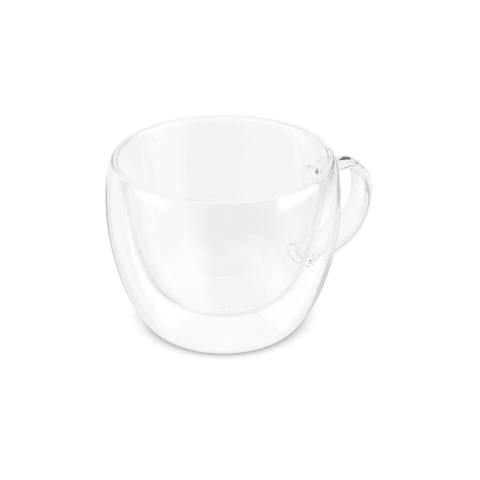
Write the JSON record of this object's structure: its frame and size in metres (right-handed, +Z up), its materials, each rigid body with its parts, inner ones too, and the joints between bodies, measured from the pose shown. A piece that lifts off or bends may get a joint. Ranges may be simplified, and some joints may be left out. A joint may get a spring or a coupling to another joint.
{
  "type": "double walled glass cup",
  "caption": "Clear double walled glass cup with an egg-shaped inner bowl, a rounded outer wall on a flat foot ring and a strap ear handle.",
  "frame": {"origin": "centre of the foot ring, on the surface that the cup stands on, on the axis of the two walls", "axes": "+Z up along the cup's axis towards the open mouth; +X towards the handle; +Y to the left seen from the handle's side with Z up"},
  "size_m": [0.1222, 0.0966, 0.0754],
  "materials": {
    "outer_wall_glass": "clear, fire polished, thin blown wall",
    "inner_wall_glass": "clear, fire polished, thin blown wall",
    "strap_glass": "clear solid glass, pulled and fire polished",
    "fused_glass": "clear melted glass bead, glossy"
  },
  "bodies": {
    "root": {"outer_shell": "outer_wall_glass", "inner_bowl": "inner_wall_glass", "lip_seam": "fused_glass", "handle": "strap_glass", "handle_upper_weld": "fused_glass", "handle_lower_weld": "fused_glass", "vent_seal": "fused_glass"}
  },
  "joints": []
}
